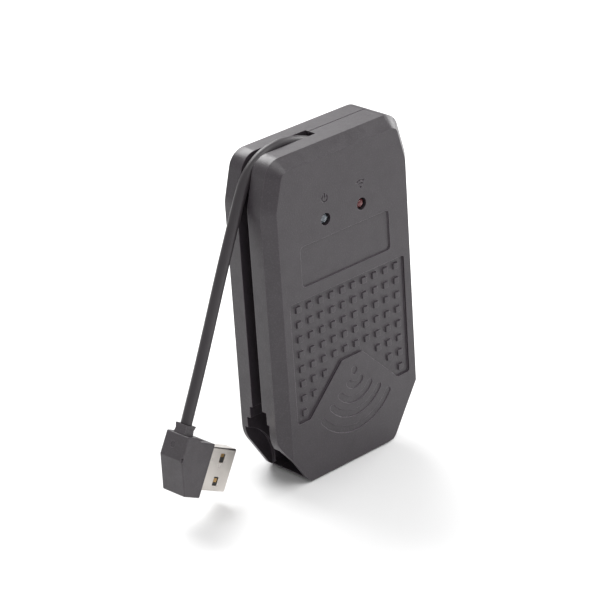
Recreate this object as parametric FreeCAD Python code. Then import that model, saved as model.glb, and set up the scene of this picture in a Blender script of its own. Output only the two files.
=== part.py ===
import FreeCAD, Part

import math
import os

from FreeCAD import Placement, Rotation, Vector

# Hand-held microchip scanner with a stowable USB lead.
# Millimetres. +Z runs up the long axis, the front face looks along -Y, and the
# flat bottom end stands on z = 0 with the origin under the middle of the case.

# ---- case -----------------------------------------------------------------
CASE_WIDTH = 53.2
CASE_HEIGHT = 93.3
CASE_THICKNESS = 19.4
WALL = 2.0
EDGE_BEVEL = 3.0                # 45 degree bevel, all round the back, and round the front but for its lower end
END_BREAK = 0.6                 # small bevel on the front of the bottom end
CORNER_RADIUS = 5.5             # top corners
SHOULDER_RUN = 3.5              # how far each shoulder leans in
SHOULDER_DROP = 12.8            # how far below the top it starts
SHOULDER_RADIUS = 9.0
END_SLOPE = math.radians(57.0)  # the two cut-off bottom corners
END_CUT_RIGHT = 12.8            # their width along X
END_CUT_LEFT = 8.7
END_RADIUS = 4.5                # where they meet the bottom
CUT_RADIUS = 9.0                # where they meet the sides
PARTING_Y = 0.9                 # where the two shells meet
SEAM_GAP = 0.3                  # shadow gap round the parting line
LIP_HEIGHT = 1.2                # locating lip inside the parting line
LIP_WALL = 0.8
LIP_CLEARANCE = 0.1

# ---- lead and its channel ----------------------------------------------------
LEAD_DIAMETER = 3.1
LEAD_Y = 0.1
CHANNEL_WIDTH = LEAD_DIAMETER + 0.8
CHANNEL_DEPTH = LEAD_DIAMETER + 1.2
CHANNEL_END = 25.6              # where the channel stops on the top, from the left side
CHANNEL_WALL = 1.2
LEAD_HOLE_CLEARANCE = 0.3
# The lead's route (x, z) in the plane y = LEAD_Y. The bend over the top is measured
# from the case's top left corner, from the lead's inner end on.
LEAD_TOP_ROUTE = [
    (38.8, -12.3), (35.2, -7.7), (29.8, -4.4), (22.1, -1.4), (15.4, 0.0),
    (10.0, -0.3), (5.5, -2.2), (1.9, -5.5), (-0.5, -10.0),
]
# The hanging stretch, from the same corner, in parts of the channel's height.
LEAD_HANG_ROUTE = [
    (-0.0526, -0.2396), (-0.1288, -0.4114), (-0.2147, -0.6177), (-0.2853, -0.7812),
    (-0.3435, -0.9072),
]
LEAD_EXIT_RUN = 2               # the run in which the lead leaves the case
LEAD_HINGE_RUN = 8              # the run past which it swings as one

# ---- plug, in its own frame: +X out of the mouth, +Z towards the lead --------
PLUG_BACK = 12.2                # overmould, from the mouth's root back
PLUG_TOP = 8.1
PLUG_BOTTOM = 7.8
PLUG_THICKNESS = 7.6
PLUG_WING_DROP = 1.0            # the front of the top is a little lower
PLUG_WING_START = 7.6
PLUG_WING_SLOPE = 1.7
PLUG_CUT_Z = 1.5                # the cut-off back corner
PLUG_CUT_RUN = 5.6
PLUG_EDGE = 0.35
PLUG_LEAD_X = 9.9               # lead axis, behind the mouth's root
COLLAR_SIDE = LEAD_DIAMETER + 0.8
COLLAR_WAIST = COLLAR_SIDE - 0.45
COLLAR_FOOT = COLLAR_SIDE - 0.15
COLLAR_HEIGHT = 2.6
SOCKET_CLEARANCE = 0.1
GATE_MARK = (0.6, 5.0)          # y, z of the round gate mark on the plug's back
GATE_MARK_RADIUS = 0.9
GATE_MARK_DEPTH = 0.15
USB_WIDTH = 12.0                # standard type A mouth
USB_THICKNESS = 4.5
USB_LENGTH = 12.0
USB_SHEET = 0.3
USB_EMBED = 5.0                 # length held in the overmould
USB_WINDOW = (2.0, 2.5)
USB_WINDOW_SPACING = 6.4
USB_WINDOW_FROM_TIP = 5.2
TONGUE_THICKNESS = 1.9
TONGUE_GAP = 0.2
TONGUE_SHORT = 0.5
CONTACT_WIDTH = 1.1
CONTACT_THICKNESS = 0.2
CONTACT_PLACES = [(-3.5, 1.0), (-1.0, 2.0), (1.0, 2.0), (3.5, 1.0)]   # z, set back from the tip

# Where the plug lies when it is put away, and how it hangs at rest.
STOW_LEAD_X = -CASE_WIDTH / 2 + LEAD_DIAMETER / 2 + 0.75
STOW_ROOT_Z = 10.4
PLUG_SWING_REST = 28.2
PLUG_TWIST_REST = 8.0
POCKET_SIDE_CLEARANCE = 0.5
POCKET_TOP_CLEARANCE = 0.35
POCKET_FLOOR_Z = 2.1
POCKET_END_CLEARANCE = 0.8
COLLAR_ROOM = (1.55, 1.0)       # room in front of the stowed collar and behind it
COLLAR_ROOM_TOP = 1.2
THUMB_RADIUS = 13.0             # thumb notch in the back wall of the pocket
THUMB_CENTRE = (-CASE_WIDTH / 2 - 4.1, 3.3)
THUMB_DEPTH = 1.2
MOUTH_WALL = 1.3                # the pocket's front wall, thinned at its mouth to give a finger room
MOUTH_LENGTH = 12.0

# ---- front face --------------------------------------------------------------
LABEL_WIDTH = 32.6
LABEL_Z = (CASE_HEIGHT - 36.6, CASE_HEIGHT - 25.2)
LABEL_DEPTH = 0.4
LABEL_RADIUS = 1.2
PANEL_WIDTH = 42.4
PANEL_Z = (18.6, LABEL_Z[0] - 3.4)
PANEL_DEPTH = 0.6
PANEL_RADIUS = 0.8
PANEL_HEIGHT = PANEL_Z[1] - PANEL_Z[0]
ISLAND_TOP_HALF = 3.8           # raised trapezium that carries the wave symbol
ISLAND_BOTTOM_HALF = 16.6
ISLAND_TOP_Z = PANEL_Z[0] + 0.363 * PANEL_HEIGHT
BUMP_PITCH_X = 4.03
BUMP_PITCH_Z = PANEL_HEIGHT / 8.107
BUMP_TOP_ROW_Z = PANEL_Z[1] - 2.2
BUMP_BASE = 2.05
BUMP_TIP = 1.6
BUMPS_PER_SIDE = [5, 5, 5, 5, 5, 3, 2, 1]   # kept each side, row by row from the top
WAVE_CENTRE = (0.4, 25.3)
WAVE_OUTER = [3.8, 7.9, 11.9, 16.3]
WAVE_WIDTH = 1.9
WAVE_HALF_ANGLE = 53.0
WAVE_DEPTH = 0.22
WAVE_DOT_RADIUS = 1.1
WAVE_DOT_Z = 26.7
LED_X = 6.6
LED_Z = CASE_HEIGHT - 20.3
LED_HOLE = 3.4
SYMBOL_Z = CASE_HEIGHT - 14.4
SYMBOL_DEPTH = 0.25
SYMBOL_LINE = 0.45

# ---- inside ------------------------------------------------------------------
BOARD_THICKNESS = 1.6
BOARD_FRONT_Y = -CASE_THICKNESS / 2 + 6.3
BOARD_X = (-CASE_WIDTH / 2 + CHANNEL_DEPTH + CHANNEL_WALL + 1.7, CASE_WIDTH / 2 - 9.6)
BOARD_Z = (STOW_ROOT_Z + PLUG_TOP + COLLAR_HEIGHT + COLLAR_ROOM_TOP + CHANNEL_WALL + 1.5, CASE_HEIGHT - 15.3)
BOARD_RADIUS = 1.5
STAKE_DIAMETER = 1.9
STAKE_CLEARANCE = 0.15
STAKE_INSET = 2.6
POST_DIAMETER = 4.4
LED_DIAMETER = 3.0
LED_FLANGE = 3.8
LED_FLANGE_HEIGHT = 1.0
LED_TIP_Y = -CASE_THICKNESS / 2 + 0.15
FORMER_X = (-CASE_WIDTH / 2 + 8.6, CASE_WIDTH / 2 - 8.6)
FORMER_Z = (BOARD_Z[0] + 2.0, BOARD_Z[1] - 2.0)
FORMER_HEIGHT = 4.0
FORMER_FLANGE = 0.8
FORMER_RADIUS = 8.0
WINDING_WIDTH = 3.0
FORMER_WALL = 1.2
SCREW_PLACES = [
    (CASE_WIDTH / 2 - 6.3, CASE_HEIGHT - 11.3), (-CASE_WIDTH / 2 + 10.0, CASE_HEIGHT - 11.7),
    (CASE_WIDTH / 2 - 6.3, 28.0), (STOW_LEAD_X + 30.8, 6.4),
]
SCREW_DIAMETER = 2.2
SCREW_HEAD_DIAMETER = 3.8
SCREW_HEAD_HEIGHT = 1.4
SCREW_LENGTH = 10.0
SCREW_HEAD_DEPTH = 2.4
SCREW_CLEARANCE = 0.15
BOSS_DIAMETER = 5.0
SLEEVE_LENGTH = 2.6
SLEEVE_WALL = 0.8
SLEEVE_FIT = 0.08
HEADER_SIZE = (8.4, 3.0, 4.6)
HEADER_X = -CASE_WIDTH / 2 + 35.4
WIRE_DIAMETER = 0.9
WIRE_PITCH = 1.5

FRONT_Y = -CASE_THICKNESS / 2
BACK_Y = CASE_THICKNESS / 2
HALF_WIDTH = CASE_WIDTH / 2
BOARD_BACK_Y = BOARD_FRONT_Y + BOARD_THICKNESS
SHOULDER_Z = CASE_HEIGHT - SHOULDER_DROP
LAST_RUN = len(LEAD_TOP_ROUTE) + len(LEAD_HANG_ROUTE) - 2
STOW_ROOT_X = STOW_LEAD_X + PLUG_LEAD_X
PLUG_TIP_Z = PLUG_TOP + COLLAR_HEIGHT
OUTSIDE = 12.0                  # how far cutting shapes reach past the case


# ---- plane shapes ------------------------------------------------------------
def box(x, y, z):
    """A block from (low, high) pairs."""
    return Part.makeBox(x[1] - x[0], y[1] - y[0], z[1] - z[0], Vector(x[0], y[0], z[0]))


def cylinder_y(x, z, radius, y):
    return Part.makeCylinder(radius, y[1] - y[0], Vector(x, y[0], z), Vector(0, 1, 0))


def rounded_face(points, radii, y):
    """A face at depth y from (x, z) corners, each rounded by its own radius."""
    corners = [Vector(x, y, z) for x, z in points]
    count = len(corners)
    cuts = []
    for index, corner in enumerate(corners):
        before = (corners[index - 1] - corner).normalize()
        after = (corners[(index + 1) % count] - corner).normalize()
        half = math.acos(max(-1.0, min(1.0, before.dot(after)))) / 2
        radius = radii[index]
        if radius <= 0:
            cuts.append((corner, None, corner))
            continue
        reach = radius / math.tan(half)
        middle = (before + after).normalize()
        top = corner + middle * (radius / math.sin(half) - radius)
        cuts.append((corner + before * reach, top, corner + after * reach))
    edges = []
    for index in range(count):
        start, top, end = cuts[index]
        if top is not None:
            edges.append(Part.Arc(start, top, end).toShape())
        following = cuts[(index + 1) % count][0]
        if end.distanceToPoint(following) > 1e-6:
            edges.append(Part.LineSegment(end, following).toShape())
    return Part.Face(Part.Wire(edges))


def prism(points, radii, y):
    """The rounded outline, extruded between two depths."""
    return rounded_face(points, radii, y[0]).extrude(Vector(0, y[1] - y[0], 0))


def rectangle(x, z):
    return [(x[0], z[0]), (x[1], z[0]), (x[1], z[1]), (x[0], z[1])]


def inset(points, amount):
    """A convex outline, given anticlockwise, moved inwards by an amount."""
    moved = []
    count = len(points)
    lines = []
    for index in range(count):
        (x0, z0), (x1, z1) = points[index], points[(index + 1) % count]
        length = math.hypot(x1 - x0, z1 - z0)
        nx, nz = -(z1 - z0) / length, (x1 - x0) / length
        lines.append((nx, nz, nx * x0 + nz * z0 + amount))
    for index in range(count):
        a1, b1, c1 = lines[index - 1]
        a2, b2, c2 = lines[index]
        det = a1 * b2 - a2 * b1
        moved.append(((c1 * b2 - c2 * b1) / det, (a1 * c2 - a2 * c1) / det))
    return moved


# ---- case --------------------------------------------------------------------
def case_outline():
    """The case seen from the front, anticlockwise from the bottom left."""
    return [
        (-HALF_WIDTH + END_CUT_LEFT, 0),
        (HALF_WIDTH - END_CUT_RIGHT, 0),
        (HALF_WIDTH, END_CUT_RIGHT * math.tan(END_SLOPE)),
        (HALF_WIDTH, SHOULDER_Z),
        (HALF_WIDTH - SHOULDER_RUN, CASE_HEIGHT),
        (-HALF_WIDTH + SHOULDER_RUN, CASE_HEIGHT),
        (-HALF_WIDTH, SHOULDER_Z),
        (-HALF_WIDTH, END_CUT_LEFT * math.tan(END_SLOPE)),
    ]


def case_radii(amount):
    ends = END_RADIUS - amount
    cuts = CUT_RADIUS - amount
    tops = CORNER_RADIUS - amount
    shoulders = SHOULDER_RADIUS - amount
    return [ends, ends, cuts, shoulders, tops, tops, shoulders, cuts]


def rim_edges(shape, y, lowest):
    """The edges round a flat end of a prism, down to a given height."""
    rims = []
    for edge in shape.Edges:
        bounds = edge.BoundBox
        if bounds.YLength < 1e-6 and abs(bounds.YMin - y) < 1e-6 and bounds.ZMax > lowest:
            rims.append(edge)
    return rims


def bevel_size(amount):
    return EDGE_BEVEL - amount * (2 - math.sqrt(2))


def open_form(amount):
    """The case form's front, sides and top, carried on below the bottom end."""
    depth = (FRONT_Y + amount, BACK_Y - amount)
    tall = [(-HALF_WIDTH + amount, -OUTSIDE), (HALF_WIDTH - amount, -OUTSIDE)]
    tall += inset(case_outline(), amount)[3:7]
    sleeve = prism(tall, [0, 0] + case_radii(amount)[3:7], depth)
    return sleeve.makeChamfer(bevel_size(amount), rim_edges(sleeve, depth[0], 1e-3 - OUTSIDE))


def case_form(amount):
    """The solid case form, moved inwards all round by an amount."""
    depth = (FRONT_Y + amount, BACK_Y - amount)
    body = prism(inset(case_outline(), amount), case_radii(amount), depth)
    body = body.makeChamfer(bevel_size(amount), rim_edges(body, depth[1], -1.0))
    return body.common(open_form(amount))


def end_break():
    """A wedge that breaks the front edge of the bottom end."""
    x = -OUTSIDE * 3
    corners = [Vector(x, FRONT_Y - 1, -1), Vector(x, FRONT_Y + END_BREAK + 1, -1),
               Vector(x, FRONT_Y - 1, END_BREAK + 1)]
    face = Part.Face(Part.makePolygon(corners + corners[:1]))
    return face.extrude(Vector(-2 * x, 0, 0))


def stow_void(margin):
    """The lead's channel with the plug's pocket, grown all round by a margin."""
    core = prism(inset(case_outline(), CHANNEL_DEPTH + margin), [2.0] * 8,
                 (FRONT_Y - 1, BACK_Y + 1))
    half = CHANNEL_WIDTH / 2 + margin
    band = box((-HALF_WIDTH - OUTSIDE, -HALF_WIDTH + CHANNEL_END + margin), (LEAD_Y - half, LEAD_Y + half),
               (STOW_ROOT_Z, CASE_HEIGHT + OUTSIDE)).cut(core)
    collar_half = COLLAR_SIDE / 2 + margin
    collar = box((-HALF_WIDTH - OUTSIDE, STOW_LEAD_X + collar_half + 0.65),
                 (LEAD_Y - collar_half - COLLAR_ROOM[0], LEAD_Y + collar_half + COLLAR_ROOM[1]),
                 (STOW_ROOT_Z, STOW_ROOT_Z + PLUG_TIP_Z + COLLAR_ROOM_TOP + margin))
    side = PLUG_THICKNESS / 2 + POCKET_SIDE_CLEARANCE + margin
    pocket = prism(
        rectangle((-HALF_WIDTH - OUTSIDE, STOW_ROOT_X + USB_LENGTH + POCKET_END_CLEARANCE + margin),
                  (POCKET_FLOOR_Z - margin, STOW_ROOT_Z + PLUG_TOP + POCKET_TOP_CLEARANCE + margin)),
        [0, 1.0, 1.0, 0], (LEAD_Y - side, LEAD_Y + side))
    mouth = open_form(MOUTH_WALL - margin).common(
        box((-HALF_WIDTH - OUTSIDE, -HALF_WIDTH + MOUTH_LENGTH + margin), (FRONT_Y - 1, LEAD_Y),
            (POCKET_FLOOR_Z - margin, STOW_ROOT_Z + PLUG_TOP + POCKET_TOP_CLEARANCE + margin)))
    return band.fuse([collar, pocket, mouth])


def lead_hole():
    """Clearance for the lead where it goes through the channel's end."""
    return route_tube(0, LEAD_EXIT_RUN + 1, LEAD_DIAMETER / 2 + LEAD_HOLE_CLEARANCE)


def thumb_notch(margin):
    """The round notch in the pocket's back wall, grown by a margin."""
    side = PLUG_THICKNESS / 2 + POCKET_SIDE_CLEARANCE
    depth = (LEAD_Y + side - 0.5, LEAD_Y + side + THUMB_DEPTH + margin)
    return cylinder_y(THUMB_CENTRE[0], THUMB_CENTRE[1], THUMB_RADIUS + margin, depth)


def seam_ring(depth):
    outer = prism(inset(case_outline(), -1.0), [0] * 8, depth)
    return outer.cut(prism(inset(case_outline(), SEAM_GAP), case_radii(SEAM_GAP), depth))


def lip(clearance):
    """The locating lip that stands on the front shell's rim."""
    depth = (PARTING_Y, PARTING_Y + LIP_HEIGHT + clearance)
    outer_inset = WALL - LIP_WALL - clearance
    ring = prism(inset(case_outline(), outer_inset), case_radii(outer_inset), depth)
    ring = ring.cut(prism(inset(case_outline(), WALL), case_radii(WALL), depth))
    return ring.cut(stow_void(CHANNEL_WALL))


def screw_boss(x, z, y):
    return cylinder_y(x, z, BOSS_DIAMETER / 2, y)


def stake_places():
    xs = (BOARD_X[0] + STAKE_INSET, BOARD_X[1] - STAKE_INSET)
    zs = (BOARD_Z[0] + STAKE_INSET, BOARD_Z[1] - STAKE_INSET)
    return [(x, z) for x in xs for z in zs]


def case_walls():
    hollow = case_form(WALL).cut([stow_void(CHANNEL_WALL), thumb_notch(CHANNEL_WALL)])
    walls = case_form(0).cut(hollow).cut(stow_void(0))
    return walls.cut(end_break())


# ---- front face details ------------------------------------------------------
def bumps():
    """The grip bumps, left standing in the sunken panel."""
    made = []
    columns = 2 * max(BUMPS_PER_SIDE)
    for row, kept in enumerate(BUMPS_PER_SIDE):
        z = BUMP_TOP_ROW_Z - row * BUMP_PITCH_Z
        for column in range(columns):
            if min(column, columns - 1 - column) >= kept:
                continue
            x = (column - (columns - 1) / 2) * BUMP_PITCH_X
            wires = []
            for side, y in ((BUMP_BASE, FRONT_Y + PANEL_DEPTH + 0.02), (BUMP_TIP, FRONT_Y)):
                half = side / 2
                square = rectangle((x - half, x + half), (z - half, z + half))
                wires.append(rounded_face(square, [0.3] * 4, y).OuterWire)
            made.append(Part.makeLoft(wires, True, True))
    return made


def panel_recess():
    low, high = PANEL_Z
    half = PANEL_WIDTH / 2
    recess = prism(rectangle((-half, half), PANEL_Z), [PANEL_RADIUS] * 4,
                   (FRONT_Y - 1, FRONT_Y + PANEL_DEPTH))
    island = [(-ISLAND_BOTTOM_HALF, low - 1), (ISLAND_BOTTOM_HALF, low - 1),
              (ISLAND_BOTTOM_HALF, low), (ISLAND_TOP_HALF, ISLAND_TOP_Z),
              (-ISLAND_TOP_HALF, ISLAND_TOP_Z), (-ISLAND_BOTTOM_HALF, low)]
    rounding = [0, 0, 0, PANEL_RADIUS, PANEL_RADIUS, 0]
    return recess.cut(prism(island, rounding, (FRONT_Y - 2, FRONT_Y + PANEL_DEPTH + 1)))


def wave_symbol():
    """A dot with four arcs spreading downwards, sunk into the face."""
    depth = (FRONT_Y - 1, FRONT_Y + WAVE_DEPTH)
    cutters = [cylinder_y(WAVE_CENTRE[0], WAVE_DOT_Z, WAVE_DOT_RADIUS, depth)]
    x0, z0 = WAVE_CENTRE
    for outer in WAVE_OUTER:
        inner = outer - WAVE_WIDTH
        middle = (outer + inner) / 2
        ring = cylinder_y(x0, z0, outer, depth).cut(cylinder_y(x0, z0, inner, depth))
        reach = outer + 2
        spread = math.radians(WAVE_HALF_ANGLE)
        left = (x0 - reach * math.tan(spread), z0 - reach)
        right = (x0 + reach * math.tan(spread), z0 - reach)
        ring = ring.common(prism([left, right, (x0, z0)], [0] * 3, depth))
        ends = []
        for side in (-1, 1):
            x = x0 + side * middle * math.sin(spread)
            z = z0 - middle * math.cos(spread)
            ends.append(cylinder_y(x, z, WAVE_WIDTH / 2, depth))
        cutters.append(ring.fuse(ends))
    return cutters


def power_symbol(x):
    """A broken ring with a bar, sunk into the face above the first indicator."""
    depth = (FRONT_Y - 1, FRONT_Y + SYMBOL_DEPTH)
    radius = 1.2
    ring = cylinder_y(x, SYMBOL_Z, radius, depth)
    ring = ring.cut(cylinder_y(x, SYMBOL_Z, radius - SYMBOL_LINE, depth))
    ring = ring.cut(box((x - 0.55, x + 0.55), depth, (SYMBOL_Z, SYMBOL_Z + 2)))
    bar = box((x - SYMBOL_LINE / 2, x + SYMBOL_LINE / 2), depth, (SYMBOL_Z, SYMBOL_Z + 1.5))
    return [ring, bar]


def read_symbol(x):
    """A dot with two short arcs, sunk into the face above the second indicator."""
    depth = (FRONT_Y - 1, FRONT_Y + SYMBOL_DEPTH)
    low = SYMBOL_Z - 1.1
    pieces = [cylinder_y(x, low, SYMBOL_LINE * 0.8, depth)]
    for radius in (1.3, 2.2):
        ring = cylinder_y(x, low, radius, depth)
        ring = ring.cut(cylinder_y(x, low, radius - SYMBOL_LINE, depth))
        pieces.append(ring.common(prism([(x, low), (x + 3, low + 3), (x - 3, low + 3)], [0] * 3, depth)))
    return pieces


def front_shell():
    shell = case_walls().common(box((-OUTSIDE * 4, OUTSIDE * 4), (-OUTSIDE * 2, PARTING_Y),
                                    (-OUTSIDE, CASE_HEIGHT + OUTSIDE)))
    posts = []
    inner_y = FRONT_Y + WALL - 0.1
    for x, z in SCREW_PLACES:
        posts.append(screw_boss(x, z, (inner_y, PARTING_Y)))
    for x, z in stake_places():
        posts.append(cylinder_y(x, z, POST_DIAMETER / 2, (inner_y, BOARD_FRONT_Y)))
        posts.append(cylinder_y(x, z, STAKE_DIAMETER / 2, (BOARD_FRONT_Y - 0.1, BOARD_BACK_Y + 0.9)))
    for x, z in sleeve_posts():
        posts.append(cylinder_y(x, z, 1.0, (inner_y, LEAD_Y + 1.0)))
    posts.append(lip(0))
    shell = shell.fuse(posts)
    shell = shell.cut([seam_ring((PARTING_Y - SEAM_GAP, PARTING_Y + 0.01)), panel_recess()])
    label = rectangle((-LABEL_WIDTH / 2, LABEL_WIDTH / 2), LABEL_Z)
    shell = shell.cut(prism(label, [LABEL_RADIUS] * 4, (FRONT_Y - 1, FRONT_Y + LABEL_DEPTH)))
    shell = shell.fuse(bumps()).removeSplitter()
    shell = shell.cut(wave_symbol())
    holes = [lead_hole()]
    for x in (-LED_X, LED_X):
        holes.append(cylinder_y(x, LED_Z, LED_HOLE / 2, (FRONT_Y - 1, FRONT_Y + WALL + 1)))
    for x, z in SCREW_PLACES:
        holes.append(cylinder_y(x, z, SCREW_DIAMETER / 2, (screw_tip_y() - 0.5, PARTING_Y + 1)))
    shell = shell.cut(holes)
    return shell.cut(power_symbol(-LED_X) + read_symbol(LED_X))


def screw_tip_y():
    return BACK_Y - SCREW_HEAD_DEPTH - SCREW_LENGTH


def back_shell():
    shell = case_walls().common(box((-OUTSIDE * 4, OUTSIDE * 4), (PARTING_Y, OUTSIDE * 2),
                                    (-OUTSIDE, CASE_HEIGHT + OUTSIDE)))
    shell = shell.cut(thumb_notch(0))
    posts = [screw_boss(x, z, (PARTING_Y, BACK_Y - WALL + 0.1)) for x, z in SCREW_PLACES]
    shell = shell.fuse(posts)
    holes = [lip(LIP_CLEARANCE), lead_hole()]
    head_y = BACK_Y - SCREW_HEAD_DEPTH - SCREW_HEAD_HEIGHT
    for x, z in SCREW_PLACES:
        shaft = SCREW_DIAMETER / 2 + SCREW_CLEARANCE
        head = SCREW_HEAD_DIAMETER / 2 + SCREW_CLEARANCE
        holes.append(cylinder_y(x, z, shaft, (PARTING_Y - 1, BACK_Y)))
        holes.append(cylinder_y(x, z, head, (head_y, BACK_Y + 1)))
    return shell.cut(holes).removeSplitter()


# ---- lead --------------------------------------------------------------------
def route_points():
    drop = CASE_HEIGHT - STOW_ROOT_Z - PLUG_TIP_Z
    hanging = [(x * drop, z * drop) for x, z in LEAD_HANG_ROUTE]
    return [Vector(-HALF_WIDTH + x, LEAD_Y, CASE_HEIGHT + z) for x, z in LEAD_TOP_ROUTE + hanging]


def corner_arc(points, index):
    """Start, top, end and radius of the arc that rounds one point of the route."""
    before = points[index - 1] - points[index]
    after = points[index + 1] - points[index]
    reach = 0.45 * min(before.Length, after.Length)
    before.normalize()
    after.normalize()
    half_turn = (math.pi - math.acos(max(-1.0, min(1.0, before.dot(after))))) / 2
    radius = reach / math.tan(half_turn)
    middle = (before + after).normalize()
    top = points[index] + middle * (radius / math.cos(half_turn) - radius)
    return points[index] + before * reach, top, points[index] + after * reach, radius


def route_path(first_run, last_run):
    """The path from the middle of one run to the middle of another; the route's
    own ends are used for its first and last runs."""
    points = route_points()
    start = points[0] if first_run == 0 else (points[first_run] + points[first_run + 1]) * 0.5
    end = points[-1] if last_run == LAST_RUN else (points[last_run] + points[last_run + 1]) * 0.5
    edges = []
    here = start
    for index in range(first_run + 1, last_run + 1):
        enter, top, leave, radius = corner_arc(points, index)
        edges.append(Part.LineSegment(here, enter).toShape())
        edges.append(Part.Arc(enter, top, leave).toShape())
        here = leave
    edges.append(Part.LineSegment(here, end).toShape())
    return Part.Wire(edges)


def route_tube(first_run, last_run, radius):
    path = route_path(first_run, last_run)
    start = path.Edges[0]
    ring = Part.Circle(start.valueAt(start.FirstParameter), start.tangentAt(start.FirstParameter), radius)
    return path.makePipeShell([Part.Wire(ring.toShape())], True, False)


def lead_free():
    """The stretch that swings, with a ball end that turns in the collar."""
    tube = route_tube(LEAD_HINGE_RUN, LAST_RUN, LEAD_DIAMETER / 2)
    return tube.fuse(Part.makeSphere(LEAD_DIAMETER / 2, route_points()[-1])).removeSplitter()


# ---- plug --------------------------------------------------------------------
def plug_placement():
    """From the plug's own frame to where it hangs at rest."""
    turn = Rotation(Vector(0, 1, 0), PLUG_SWING_REST).multiply(Rotation(Vector(0, 0, 1), PLUG_TWIST_REST))
    pivot = Vector(-PLUG_LEAD_X, 0, PLUG_TIP_Z)
    return Placement(route_points()[-1] - turn.multVec(pivot), turn)


def in_place(shape):
    placed = shape.copy()
    placed.Placement = plug_placement().multiply(placed.Placement)
    return placed


def plug_overmould():
    half = PLUG_THICKNESS / 2
    wing_z = PLUG_TOP - PLUG_WING_DROP
    outline = [
        (-PLUG_BACK + PLUG_CUT_RUN, -PLUG_BOTTOM), (0, -PLUG_BOTTOM), (0, wing_z),
        (-PLUG_WING_START + PLUG_WING_SLOPE, wing_z), (-PLUG_WING_START, PLUG_TOP),
        (-PLUG_BACK, PLUG_TOP), (-PLUG_BACK, PLUG_CUT_Z),
    ]
    body = prism(outline, [0] * 7, (-half, half))
    body = body.makeFillet(PLUG_EDGE, body.Edges)
    ramp = [(-PLUG_WING_START - 1, wing_z - 1), (-1.5, wing_z - 1), (-1.5, wing_z),
            (-PLUG_WING_START - 1, PLUG_TOP)]
    body = body.fuse(prism(ramp, [0] * 4, (-half / 3, half - PLUG_EDGE)))
    notch = box((-PLUG_BACK - 1, -PLUG_BACK + 0.5), (-half - 1, -half + 0.5), (PLUG_CUT_Z - 0.4, PLUG_CUT_Z + 0.9))
    gate_mark = Part.makeCylinder(GATE_MARK_RADIUS, GATE_MARK_DEPTH + 1,
                                  Vector(-PLUG_BACK - 1, *GATE_MARK), Vector(1, 0, 0))
    return body.cut([notch, gate_mark, usb_envelope(-USB_EMBED)])


def usb_envelope(start):
    """The outside of the metal mouth, from a given x to its tip."""
    width = USB_WIDTH / 2
    thick = USB_THICKNESS / 2
    block = box((start, USB_LENGTH), (-thick, thick), (-width, width))
    long_edges = [edge for edge in block.Edges if edge.BoundBox.XLength > 1]
    return block.makeFillet(0.5, long_edges)


def plug_collar():
    """A square neck with a waist, and a round socket for the lead's end."""
    sections = []
    for side, z in ((COLLAR_FOOT, PLUG_TOP), (COLLAR_WAIST, PLUG_TOP + COLLAR_HEIGHT / 2),
                    (COLLAR_SIDE, PLUG_TIP_Z)):
        half = side / 2
        corners = [Vector(-PLUG_LEAD_X + x * half, y * half, z)
                   for x, y in ((-1, -1), (1, -1), (1, 1), (-1, 1))]
        sections.append(Part.makePolygon(corners + corners[:1]))
    neck = Part.makeLoft(sections[:2], True, True).fuse(Part.makeLoft(sections[1:], True, True))
    socket = Part.makeSphere(LEAD_DIAMETER / 2 + SOCKET_CLEARANCE, Vector(-PLUG_LEAD_X, 0, PLUG_TIP_Z))
    return neck.cut(socket)


def plug_shell():
    outside = usb_envelope(-USB_EMBED)
    width = USB_WIDTH / 2 - USB_SHEET
    thick = USB_THICKNESS / 2 - USB_SHEET
    inside = box((-USB_EMBED - 1, USB_LENGTH + 1), (-thick, thick), (-width, width))
    long_edges = [edge for edge in inside.Edges if edge.BoundBox.XLength > 1]
    shell = outside.cut(inside.makeFillet(0.2, long_edges))
    along, across = USB_WINDOW
    x = USB_LENGTH - USB_WINDOW_FROM_TIP
    for side in (-1, 1):
        z = side * USB_WINDOW_SPACING / 2
        window = prism(rectangle((x - along / 2, x + along / 2), (z - across / 2, z + across / 2)),
                       [0.3] * 4, (-USB_THICKNESS, USB_THICKNESS))
        shell = shell.cut(window)
    return shell


def tongue_y():
    high = USB_THICKNESS / 2 - USB_SHEET
    return (high - TONGUE_THICKNESS, high)


def plug_tongue():
    width = USB_WIDTH / 2 - USB_SHEET
    low, high = tongue_y()
    blade = box((-USB_EMBED, USB_LENGTH - TONGUE_SHORT), (low, high),
                (-width + TONGUE_GAP, width - TONGUE_GAP))
    block = box((-USB_EMBED, 1.0), (-high, high), (-width + TONGUE_GAP, width - TONGUE_GAP))
    return blade.fuse(block).cut(plug_contact_list()).removeSplitter()


def plug_contact_list():
    low = tongue_y()[0]
    strips = []
    for z, setback in CONTACT_PLACES:
        strips.append(box((-USB_EMBED, USB_LENGTH - TONGUE_SHORT - setback),
                          (low, low + CONTACT_THICKNESS),
                          (z - CONTACT_WIDTH / 2, z + CONTACT_WIDTH / 2)))
    return strips


# ---- electronics ---------------------------------------------------------------
def main_board():
    board = prism(rectangle(BOARD_X, BOARD_Z), [BOARD_RADIUS] * 4, (BOARD_FRONT_Y, BOARD_BACK_Y))
    holes = []
    for x, z in stake_places():
        holes.append(cylinder_y(x, z, STAKE_DIAMETER / 2 + STAKE_CLEARANCE,
                                (BOARD_FRONT_Y - 1, BOARD_BACK_Y + 1)))
    return board.cut(holes)


def led(x):
    """A 3 mm indicator whose tip stands in its hole."""
    radius = LED_DIAMETER / 2
    barrel = cylinder_y(x, LED_Z, radius, (LED_TIP_Y + radius, BOARD_FRONT_Y))
    dome = Part.makeSphere(radius, Vector(x, LED_TIP_Y + radius, LED_Z))
    flange = cylinder_y(x, LED_Z, LED_FLANGE / 2, (BOARD_FRONT_Y - LED_FLANGE_HEIGHT, BOARD_FRONT_Y))
    return barrel.fuse([dome, flange]).removeSplitter()


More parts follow.
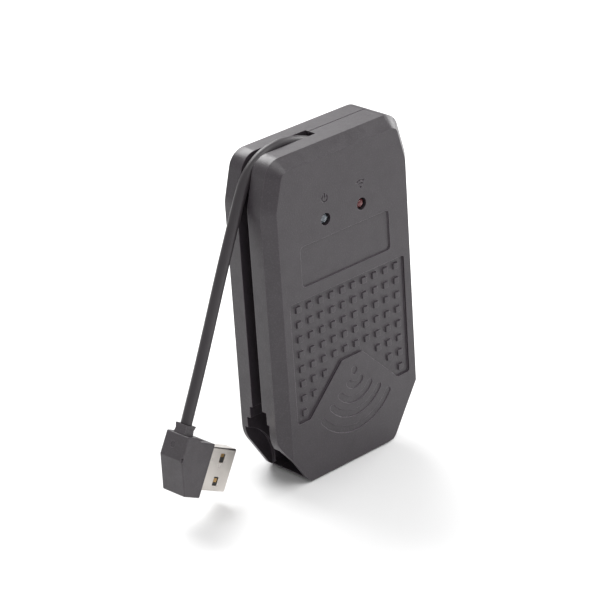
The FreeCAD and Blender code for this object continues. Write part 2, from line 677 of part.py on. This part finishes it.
def board_z(share):
    """A height on the board, from 0 at its bottom edge to 1 at its top edge."""
    return BOARD_Z[0] + share * (BOARD_Z[1] - BOARD_Z[0])


def on_back(x, z, size, height):
    """A component body on the back of the board."""
    return box((x - size[0] / 2, x + size[0] / 2), (BOARD_BACK_Y, BOARD_BACK_Y + height),
               (z - size[1] / 2, z + size[1] / 2))


def on_front(x, z, size, height):
    return box((x - size[0] / 2, x + size[0] / 2), (BOARD_FRONT_Y - height, BOARD_FRONT_Y),
               (z - size[1] / 2, z + size[1] / 2))


def chip(x, z, body, height, pins, pitch):
    """A flat package with gull-wing legs down its two long sides."""
    shape = on_back(x, z, body, height)
    legs = []
    for side in (-1, 1):
        for index in range(pins):
            at = z + (index - (pins - 1) / 2) * pitch
            edge = x + side * body[0] / 2
            low, high = sorted((edge - side * 0.1, edge + side * 0.9))
            legs.append(box((low, high), (BOARD_BACK_Y, BOARD_BACK_Y + 0.3), (at - 0.2, at + 0.2)))
    return shape.fuse(legs)


def passives():
    """Chip resistors and capacitors, all in one group."""
    places = [(-14, 0.66), (-14, 0.585), (-14, 0.51), (2, 0.51), (5, 0.51), (8, 0.51),
              (-2, 0.17), (2, 0.17), (6, 0.17)]
    return [on_back(x, board_z(share), (1.6, 0.8), 0.6) for x, share in places]


def crystal():
    x, z = 6.0, board_z(0.66)
    return prism(rectangle((x - 5.2, x + 5.2), (z - 2.2, z + 2.2)), [2.19] * 4,
                 (BOARD_BACK_Y, BOARD_BACK_Y + 2.6))


def film_capacitors():
    return [on_front(x, board_z(0.17), (7.2, 2.8), 3.6) for x in (-12.0, -3.0)]


def buzzer():
    x, z = 8.0, board_z(0.32)
    case = cylinder_y(x, z, 4.6, (BOARD_FRONT_Y - 3.8, BOARD_FRONT_Y))
    return case.cut(cylinder_y(x, z, 0.9, (BOARD_FRONT_Y - 4.8, BOARD_FRONT_Y - 2.8)))


def wire_header():
    width, depth, height = HEADER_SIZE
    low = BOARD_Z[1] - 7.6
    outer = box((HEADER_X - width / 2, HEADER_X + width / 2), (BOARD_BACK_Y, BOARD_BACK_Y + depth),
                (low, low + height))
    inner = box((HEADER_X - width / 2 + 0.7, HEADER_X + width / 2 - 0.7),
                (BOARD_BACK_Y + 0.5, BOARD_BACK_Y + depth - 0.5), (low + 1.0, low + height + 1))
    return outer.cut(inner)


def wire_housing():
    width, depth, height = HEADER_SIZE
    low = BOARD_Z[1] - 7.6
    return box((HEADER_X - width / 2 + 0.75, HEADER_X + width / 2 - 0.75),
               (BOARD_BACK_Y + 0.55, BOARD_BACK_Y + depth - 0.55), (low + 1.05, low + height + 0.9))


def thin_wire(points, diameter):
    """A thin wire with a ball at each bend."""
    pieces = []
    for start, end in zip(points, points[1:]):
        pieces.append(Part.makeCylinder(diameter / 2, (end - start).Length, start, end - start))
    for point in points[1:-1]:
        pieces.append(Part.makeSphere(diameter / 2, point))
    return pieces[0].fuse(pieces[1:]).removeSplitter()


def conductors():
    """The lead's four inner wires, from its cut end to the housing."""
    end = route_points()[0]
    direction = (end - route_points()[1]).normalize()
    across = Vector(0, 1, 0).cross(direction)
    top = BOARD_Z[1] - 7.6 + HEADER_SIZE[2] + 0.9
    y = BOARD_BACK_Y + HEADER_SIZE[1] / 2
    made = []
    for index in range(4):
        place = index - 1.5
        start = end + across * (place * -0.72 * WIRE_DIAMETER / 0.65)
        finish = Vector(HEADER_X + place * WIRE_PITCH, y, top)
        bend = Vector(finish.x, y, top + 2.0)
        made.append(thin_wire([start, start + direction * 1.2, bend, finish], WIRE_DIAMETER * 0.85))
    return made


def sleeve_frame():
    """Middle of the arc where the crimped sleeve sits, and the lead's direction there."""
    points = route_points()
    enter, top, leave, radius = corner_arc(points, 1)
    return top, (leave - enter).normalize()


def strain_sleeve():
    middle, direction = sleeve_frame()
    start = middle - direction * (SLEEVE_LENGTH / 2)
    bore = LEAD_DIAMETER / 2 + SLEEVE_FIT
    outer = Part.makeCylinder(bore + SLEEVE_WALL, SLEEVE_LENGTH, start, direction)
    return outer.cut(Part.makeCylinder(bore, SLEEVE_LENGTH + 2, start - direction, direction))


def sleeve_posts():
    """Two posts that stop the sleeve from being pulled out."""
    middle, direction = sleeve_frame()
    across = Vector(0, 1, 0).cross(direction)
    places = []
    for side in (-1, 1):
        spot = middle + direction * (SLEEVE_LENGTH / 2 + 1.1) + across * (side * 2.75)
        places.append((spot.x, spot.z))
    return places


# ---- antenna -------------------------------------------------------------------
def ring_plate(inwards, depth):
    """One racetrack outline of the former, moved inwards."""
    points = rectangle((FORMER_X[0] + inwards, FORMER_X[1] - inwards),
                       (FORMER_Z[0] + inwards, FORMER_Z[1] - inwards))
    return prism(points, [max(0.5, FORMER_RADIUS - inwards)] * 4, depth)


def former_y():
    return (BACK_Y - WALL - FORMER_HEIGHT, BACK_Y - WALL)


def antenna_former():
    low, high = former_y()
    hub = WINDING_WIDTH
    body = ring_plate(0, (low, high))
    body = body.cut(ring_plate(hub + FORMER_WALL, (low - 1, high + 1)))
    groove = ring_plate(-1, (low + FORMER_FLANGE, high - FORMER_FLANGE))
    groove = groove.cut(ring_plate(hub, (low, high)))
    return body.cut(groove)


def antenna_winding():
    low, high = former_y()
    depth = (low + FORMER_FLANGE + 0.05, high - FORMER_FLANGE - 0.05)
    return ring_plate(0.4, depth).cut(ring_plate(WINDING_WIDTH - 0.02, depth))


def antenna_leads():
    """The winding's two ends, down to the board."""
    low = former_y()[0]
    x = FORMER_X[0] + WINDING_WIDTH + FORMER_WALL + 0.8
    wires = []
    for z in (board_z(0.36), board_z(0.42)):
        start = Vector(x, low + 0.4, z)
        wires.append(thin_wire([start, Vector(x + 1.5, low - 0.8, z), Vector(x + 1.5, BOARD_BACK_Y, z)], 0.5))
    return wires


# ---- screws ----------------------------------------------------------------------
def case_screws():
    made = []
    seat = BACK_Y - SCREW_HEAD_DEPTH - SCREW_HEAD_HEIGHT
    for x, z in SCREW_PLACES:
        shaft = cylinder_y(x, z, SCREW_DIAMETER / 2, (screw_tip_y(), seat + 0.1))
        head = cylinder_y(x, z, SCREW_HEAD_DIAMETER / 2, (seat, seat + SCREW_HEAD_HEIGHT))
        slots = []
        for turn in (0, 90):
            slot = box((x - 1.1, x + 1.1), (seat + 0.6, seat + SCREW_HEAD_HEIGHT + 1), (z - 0.25, z + 0.25))
            slot.rotate(Vector(x, 0, z), Vector(0, 1, 0), turn)
            slots.append(slot)
        made.append(shaft.fuse(head).cut(slots).removeSplitter())
    return made


def group(solids):
    return Part.makeCompound(solids)


def main():
    radius = LEAD_DIAMETER / 2
    nodes = {
        "front_shell": front_shell(),
        "back_shell": back_shell(),
        "case_screws": group(case_screws()),
        "main_board": main_board(),
        "led_power": led(-LED_X),
        "led_read": led(LED_X),
        "reader_chip": chip(-6.0, board_z(0.811), (4.4, 9.0), 1.5, 7, 1.27),
        "microcontroller": chip(-4.0, board_z(0.358), (7.0, 7.0), 1.4, 10, 0.65),
        "crystal": crystal(),
        "tuning_capacitors": group(film_capacitors()),
        "chip_passives": group(passives()),
        "buzzer": buzzer(),
        "wire_header": wire_header(),
        "wire_housing": wire_housing(),
        "lead_conductors": group(conductors()),
        "strain_sleeve": strain_sleeve(),
        "antenna_former": antenna_former(),
        "antenna_winding": antenna_winding(),
        "antenna_leads": group(antenna_leads()),
        "lead_inner": route_tube(0, LEAD_EXIT_RUN, radius),
        "lead_bend": route_tube(LEAD_EXIT_RUN, LEAD_HINGE_RUN, radius),
        "lead_free": lead_free(),
        "plug_collar": in_place(plug_collar()),
        "plug_overmould": in_place(plug_overmould()),
        "plug_shell": in_place(plug_shell()),
        "plug_tongue": in_place(plug_tongue()),
        "plug_contacts": in_place(group(plug_contact_list())),
    }
    os.makedirs("parts", exist_ok=True)
    for name, shape in nodes.items():
        shape.exportStep("parts/" + name + ".step")
        print(name, "solids", len(shape.Solids), "valid", shape.isValid(), "volume", round(shape.Volume, 2))

    points = route_points()
    for index in range(1, len(points) - 1):
        print("lead bend", index, "radius", round(corner_arc(points, index)[3], 1))
    length = route_path(0, LAST_RUN).Length
    outside = route_path(LEAD_EXIT_RUN, LAST_RUN).Length
    section = math.pi * radius ** 2
    print("lead length", round(length, 1), "outside the case", round(outside, 1))
    print("lead volume over section", round(route_tube(0, LAST_RUN, radius).Volume / (section * length), 4))


main()
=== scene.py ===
import math

import bmesh
import bpy
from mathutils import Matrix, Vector


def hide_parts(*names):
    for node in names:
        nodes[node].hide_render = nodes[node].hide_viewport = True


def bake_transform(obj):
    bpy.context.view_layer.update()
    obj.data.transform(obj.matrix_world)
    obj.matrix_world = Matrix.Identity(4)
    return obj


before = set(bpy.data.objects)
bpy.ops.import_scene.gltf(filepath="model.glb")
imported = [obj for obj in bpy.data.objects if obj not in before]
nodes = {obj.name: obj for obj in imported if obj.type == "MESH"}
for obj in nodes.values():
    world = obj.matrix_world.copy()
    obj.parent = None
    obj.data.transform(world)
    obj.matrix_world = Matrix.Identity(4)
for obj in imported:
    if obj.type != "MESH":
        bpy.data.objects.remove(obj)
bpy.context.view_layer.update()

# Hand-held microchip scanner with a stowable USB lead. Metres, in the row frame.
MM = 0.001

# ---- camera ------------------------------------------------------------------
CAMERA_PLACE = (-0.4510, -0.4854, 0.3436)
CAMERA_TURN = (65.71, 3.53, -43.93)         # degrees, XYZ Euler
CAMERA_LENS = 162.7
CAMERA_SENSOR = 36.0

# ---- lead ----------------------------------------------------------------------
LEAD_DIAMETER = 3.1 * MM
LEAD_Y = 0.1
# The CAD route's points (x, z) in millimetres, from the notch on the top to the plug.
LEAD_ROUTE = [
    (-0.65, 90.4), (-4.5, 91.9), (-11.2, 93.3), (-16.6, 93.0), (-21.1, 91.1), (-24.7, 87.8),
    (-27.1, 83.3), (-30.4, 76.0), (-35.9, 63.6), (-42.1, 48.7), (-47.2, 36.9), (-51.4, 27.8),
]
LEAD_SIDES = 24
LEAD_SPLINE_STEPS = 16
LEAD_END_RINGS = 6                          # rings in the ball end

# ---- studio --------------------------------------------------------------------
WORLD_STRENGTH = 0.61
LIGHT_AIM = (0, 0, 0.045)
FLOOR_REACH = 3.0
# name, place, side of the square light, watts
SOFT_BOXES = [
    ("top_back_box", (0.3, 0.9, 1.0), 0.9, 18.5),
    ("top_front_box", (0.1, -0.7, 1.1), 0.8, 7.0),
    ("right_box", (1.3, 0.0, 0.5), 0.8, 11.2),
]


# ---- shader helpers --------------------------------------------------------------
def add(tree, kind, links=None, **settings):
    """A shader node; links maps an input's name or number to the socket that feeds it."""
    node = tree.nodes.new("ShaderNode" + kind)
    for key, value in settings.items():
        if hasattr(node, key):
            setattr(node, key, value)
        else:
            node.inputs[key.replace("_", " ")].default_value = value
    for key, socket in (links or {}).items():
        tree.links.new(socket, node.inputs[key])
    return node


def noise(tree, cell, detail=2.0, stretch=(1, 1, 1), seed=0.0):
    """Noise with cells of a real size in metres, stretched along the axes."""
    place = add(tree, "TexCoord").outputs["Object"]
    mapped = add(tree, "Mapping", {"Vector": place})
    mapped.inputs["Scale"].default_value = [1 / s for s in stretch]
    mapped.inputs["Location"].default_value = (seed, seed * 0.7, seed * 1.3)
    return add(tree, "TexNoise", {"Vector": mapped.outputs["Vector"]},
               Scale=1 / cell, Detail=detail).outputs["Fac"]


def ramp(tree, socket, low, high, out_low, out_high):
    """A value between two limits, mapped to another range."""
    return add(tree, "MapRange", {"Value": socket}, From_Min=low, From_Max=high,
               To_Min=out_low, To_Max=out_high).outputs["Result"]


def mix(tree, factor, first, second):
    """Blends two colours, each a tuple or a socket."""
    node = tree.nodes.new("ShaderNodeMix")
    node.data_type = "RGBA"
    tree.links.new(factor, node.inputs["Factor"])
    for name, colour in (("A", first), ("B", second)):
        socket = [s for s in node.inputs if s.name == name and s.type == "RGBA"][0]
        if isinstance(colour, tuple):
            socket.default_value = colour + (1.0,)
        else:
            tree.links.new(colour, socket)
    return [s for s in node.outputs if s.type == "RGBA"][0]


def shade(colour, factor):
    return tuple(min(1.0, channel * factor) for channel in colour)


def rounded(tree, radius):
    """The surface direction with its sharp edges rounded."""
    return add(tree, "Bevel", Radius=radius, samples=6).outputs["Normal"]


def edge_mask(tree, normal):
    """1 on sharp edges, 0 on flat faces."""
    flat = add(tree, "NewGeometry").outputs["Normal"]
    dot = add(tree, "VectorMath", {0: normal, 1: flat}, operation="DOT_PRODUCT").outputs["Value"]
    return ramp(tree, dot, 1.0, 0.75, 0.0, 1.0)


def surface(name, colour, roughness, metal=0.0, edge=0.2 * MM, highlight_and_wear=1.25, mottle=(9 * MM, 0.08),
            grain=(0.22 * MM, 0.012 * MM), streak=None, speckle=0.0, gloss_spread=0.07,
            specular=0.5, **extra):
    """A material with mottled colour, light flecks, uneven gloss, fine grain, and sharp edges painted
    lighter: painted highlight with some wear.

    mottle is a patch size and an amount, and grain is a cell size and a height."""
    material = bpy.data.materials.new(name)
    material.use_nodes = True
    tree = material.node_tree
    shader = tree.nodes["Principled BSDF"]
    size, amount = mottle
    tone = mix(tree, ramp(tree, noise(tree, size, 4.0), 0.3, 0.7, 0.0, 1.0),
               shade(colour, 1 - amount), shade(colour, 1 + amount))
    if speckle:
        fleck = noise(tree, grain[0] * 0.9, 1.0, seed=2.0)
        tone = mix(tree, ramp(tree, fleck, 0.52, 0.7, 0.0, speckle), tone, shade(colour, 2.2))
    normal = None
    if edge:
        normal = rounded(tree, edge)
        # Sharp edges, concave ones too, get a lighter copy of the colour: a painted highlight along the
        # edges, with some wear.
        tone = mix(tree, edge_mask(tree, normal), tone, shade(colour, highlight_and_wear))
    tree.links.new(tone, shader.inputs["Base Color"])
    cloud = noise(tree, size * 0.35, 3.0, seed=4.0)
    tree.links.new(ramp(tree, cloud, 0.3, 0.7, roughness - gloss_spread, roughness + gloss_spread),
                   shader.inputs["Roughness"])
    cell, height = grain
    relief = noise(tree, cell, 2.0, streak or (1, 1, 1), seed=9.0)
    bump = add(tree, "Bump", {"Height": relief}, Strength=1.0, Distance=height)
    if normal is not None:
        tree.links.new(normal, bump.inputs["Normal"])
    tree.links.new(bump.outputs["Normal"], shader.inputs["Normal"])
    shader.inputs["Metallic"].default_value = metal
    shader.inputs["Specular IOR Level"].default_value = specular
    for key, value in extra.items():
        shader.inputs[key.replace("_", " ")].default_value = value
    return material


def board_green():
    """Solder mask over copper tracks on a 1.27 mm grid."""
    material = surface("board_mask", (0.012, 0.12, 0.05), 0.32, edge=None, grain=(0.4 * MM, 0.004 * MM))
    tree = material.node_tree
    shader = tree.nodes["Principled BSDF"]
    tracks = add(tree, "TexBrick", {"Vector": add(tree, "TexCoord").outputs["Object"]},
                 Scale=1 / (5 * MM), Mortar_Size=0.03)
    tracks.inputs["Color1"].default_value = (0.012, 0.12, 0.05, 1)
    tracks.inputs["Color2"].default_value = (0.014, 0.14, 0.06, 1)
    tracks.inputs["Mortar"].default_value = (0.03, 0.26, 0.1, 1)
    tree.links.new(tracks.outputs["Color"], shader.inputs["Base Color"])
    return material


def winding_copper():
    """Enamelled wire laid in turns."""
    material = surface("coil_wire", (0.56, 0.2, 0.07), 0.28, metal=0.85, edge=None)
    tree = material.node_tree
    turns = add(tree, "TexWave", {"Vector": add(tree, "TexCoord").outputs["Object"]},
                wave_type="BANDS", bands_direction="Y", Scale=1 / (1.6 * MM), Distortion=0.6)
    bump = add(tree, "Bump", {"Height": turns.outputs["Fac"]}, Strength=0.8, Distance=0.06 * MM)
    tree.links.new(bump.outputs["Normal"], tree.nodes["Principled BSDF"].inputs["Normal"])
    return material


def lens(name, colour, clearness):
    """Clear or tinted epoxy."""
    return surface(name, colour, 0.08, edge=None, grain=(0.8 * MM, 0.004 * MM), gloss_spread=0.03,
                   IOR=1.5, Transmission_Weight=clearness)


def paint(material, *names):
    """Gives CAD nodes one material."""
    for name in names:
        data = nodes[name].data
        data.materials.clear()
        data.materials.append(material)


# ---- materials on the CAD nodes --------------------------------------------------------
CASE_GREY = (0.033, 0.0275, 0.0325)
PLUG_GREY = (0.049, 0.043, 0.048)
LEAD_GREY = (0.029, 0.0245, 0.028)

# The case's sharp edges are painted up to 4.2 times lighter and the plug's up to 2.4 times: painted
# highlight lines, with some wear.
case_plastic = surface("case_plastic", CASE_GREY, 0.39, edge=0.22 * MM, highlight_and_wear=4.2, speckle=0.32,
                       grain=(0.42 * MM, 0.03 * MM))
plug_plastic = surface("plug_plastic", PLUG_GREY, 0.5, edge=0.25 * MM, highlight_and_wear=2.4, speckle=0.2,
                       grain=(0.4 * MM, 0.018 * MM))
steel_mouth = surface("plug_nickel", (0.62, 0.585, 0.55), 0.34, metal=1.0, edge=0.1 * MM, highlight_and_wear=1.15,
                      grain=(0.12 * MM, 0.003 * MM), streak=(9, 1, 1))
paint(case_plastic, "front_shell", "back_shell")
paint(plug_plastic, "plug_overmould", "plug_collar")
paint(steel_mouth, "plug_shell")
paint(surface("contact_gold", (0.42, 0.27, 0.11), 0.3, metal=1.0, edge=None,
              grain=(0.1 * MM, 0.002 * MM)), "plug_contacts")
paint(surface("tongue_black", (0.02, 0.02, 0.021), 0.45), "plug_tongue")
paint(lens("led_clear", (0.62, 0.7, 0.78), 0.8), "led_power")
paint(lens("led_red_tint", (0.27, 0.07, 0.075), 0.6), "led_read")
paint(surface("screw_black", (0.05, 0.05, 0.055), 0.38, metal=0.6, edge=0.08 * MM, highlight_and_wear=2.2,
              grain=(0.1 * MM, 0.004 * MM)), "case_screws")
paint(board_green(), "main_board")
paint(surface("epoxy_black", (0.022, 0.022, 0.024), 0.55, edge=0.1 * MM), "reader_chip",
      "microcontroller", "buzzer")
paint(surface("drawn_can", (0.6, 0.6, 0.6), 0.3, metal=1.0, edge=0.15 * MM, streak=(1, 1, 8)),
      "crystal", "strain_sleeve")
paint(surface("film_resin", (0.4, 0.07, 0.03), 0.25, edge=0.4 * MM, Coat_Weight=0.5), "tuning_capacitors")
paint(surface("ceramic_tan", (0.36, 0.27, 0.19), 0.6, edge=0.1 * MM), "chip_passives")
paint(surface("nylon_natural", (0.74, 0.7, 0.6), 0.45, edge=0.15 * MM, Subsurface_Weight=0.1),
      "wire_header", "wire_housing")
paint(surface("wire_insulation", (0.42, 0.04, 0.03), 0.4, edge=None), "lead_conductors")
paint(surface("former_natural", (0.55, 0.52, 0.45), 0.5), "antenna_former")
paint(winding_copper(), "antenna_winding", "antenna_leads")


# ---- lead ---------------------------------------------------------------------------------
def route_line():
    """Points read from a smooth spline through the route."""
    curve = bpy.data.curves.new("lead_line", "CURVE")
    curve.dimensions = "3D"
    spline = curve.splines.new("NURBS")
    spline.points.add(len(LEAD_ROUTE) - 1)
    for point, (x, z) in zip(spline.points, LEAD_ROUTE):
        point.co = (x * MM, LEAD_Y * MM, z * MM, 1.0)
    spline.order_u = 3
    spline.use_endpoint_u = True
    spline.resolution_u = LEAD_SPLINE_STEPS
    guide = bpy.data.objects.new("lead_line", curve)
    bpy.context.scene.collection.objects.link(guide)
    bpy.context.view_layer.update()
    mesh = bpy.data.meshes.new_from_object(guide)
    line = [vertex.co.copy() for vertex in mesh.vertices]
    bpy.data.objects.remove(guide)
    bpy.data.meshes.remove(mesh)
    return line


def lead_tube(line):
    """A round tube along the line, with a ball end that sits in the collar."""
    radius = LEAD_DIAMETER / 2
    side = Vector((0, 1, 0))
    rings = []
    for index, point in enumerate(line):
        ahead = line[min(index + 1, len(line) - 1)] - line[max(index - 1, 0)]
        rings.append((point, ahead.normalized(), radius))
    end, along, _ = rings[-1]
    for step in range(1, LEAD_END_RINGS + 1):
        turn = step * math.pi / 2 / (LEAD_END_RINGS + 1)
        rings.append((end + along * radius * math.sin(turn), along, radius * math.cos(turn)))
    mesh = bmesh.new()
    loops = []
    for point, along, reach in rings:
        across = along.cross(side).normalized()
        loops.append([
            mesh.verts.new(point + (side * math.cos(a) + across * math.sin(a)) * reach)
            for a in (2 * math.pi * k / LEAD_SIDES for k in range(LEAD_SIDES))
        ])
    for near, far in zip(loops, loops[1:]):
        for k in range(LEAD_SIDES):
            after = (k + 1) % LEAD_SIDES
            mesh.faces.new((near[k], far[k], far[after], near[after]))
    tip = mesh.verts.new(end + along * radius)
    for k in range(LEAD_SIDES):
        mesh.faces.new((loops[-1][k], tip, loops[-1][(k + 1) % LEAD_SIDES]))
    mesh.faces.new(loops[0])
    bmesh.ops.recalc_face_normals(mesh, faces=mesh.faces)
    data = bpy.data.meshes.new("lead_jacket")
    mesh.to_mesh(data)
    mesh.free()
    for polygon in data.polygons:
        polygon.use_smooth = True
    tube = bpy.data.objects.new("lead_jacket", data)
    bpy.context.scene.collection.objects.link(tube)
    return tube


line = route_line()
lead = lead_tube(line)
lead_vinyl = surface("lead_jacket", LEAD_GREY, 0.4, edge=None, mottle=(6 * MM, 0.05),
                     grain=(0.25 * MM, 0.006 * MM))
lead.data.materials.append(lead_vinyl)
paint(lead_vinyl, "lead_inner", "lead_bend", "lead_free")
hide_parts("lead_bend", "lead_free")
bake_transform(lead)


# ---- floor, light, camera ----------------------------------------------------------------
def floor():
    mesh = bpy.data.meshes.new("floor")
    corners = [(x * FLOOR_REACH, y * FLOOR_REACH, 0) for x, y in ((-1, -1), (1, -1), (1, 1), (-1, 1))]
    mesh.from_pydata(corners, [], [(0, 1, 2, 3)])
    plane = bpy.data.objects.new("floor", mesh)
    bpy.context.scene.collection.objects.link(plane)
    mesh.materials.append(surface("floor_white", (0.86, 0.86, 0.86), 0.7, edge=None,
                                  mottle=(200 * MM, 0.01)))


def soft_box(name, place, side, power):
    """A square light that faces the object."""
    data = bpy.data.lights.new(name, "AREA")
    data.shape = "SQUARE"
    data.size = side
    data.energy = power
    light = bpy.data.objects.new(name, data)
    light.location = place
    light.rotation_euler = (Vector(LIGHT_AIM) - Vector(place)).to_track_quat("-Z", "Y").to_euler()
    bpy.context.scene.collection.objects.link(light)


def studio():
    world = bpy.data.worlds.new("studio")
    world.use_nodes = True
    back = world.node_tree.nodes["Background"]
    back.inputs["Color"].default_value = (1, 1, 1, 1)
    back.inputs["Strength"].default_value = WORLD_STRENGTH
    scene = bpy.context.scene
    scene.world = world
    scene.view_settings.view_transform = "Standard"
    for name, place, side, power in SOFT_BOXES:
        soft_box(name, place, side, power)


def camera():
    data = bpy.data.cameras.new("photo_camera")
    data.lens = CAMERA_LENS
    data.sensor_width = CAMERA_SENSOR
    data.clip_start = 0.01
    view = bpy.data.objects.new("photo_camera", data)
    view.location = CAMERA_PLACE
    view.rotation_euler = [math.radians(turn) for turn in CAMERA_TURN]
    bpy.context.scene.collection.objects.link(view)
    bpy.context.scene.camera = view


floor()
studio()
camera()

bpy.context.view_layer.update()
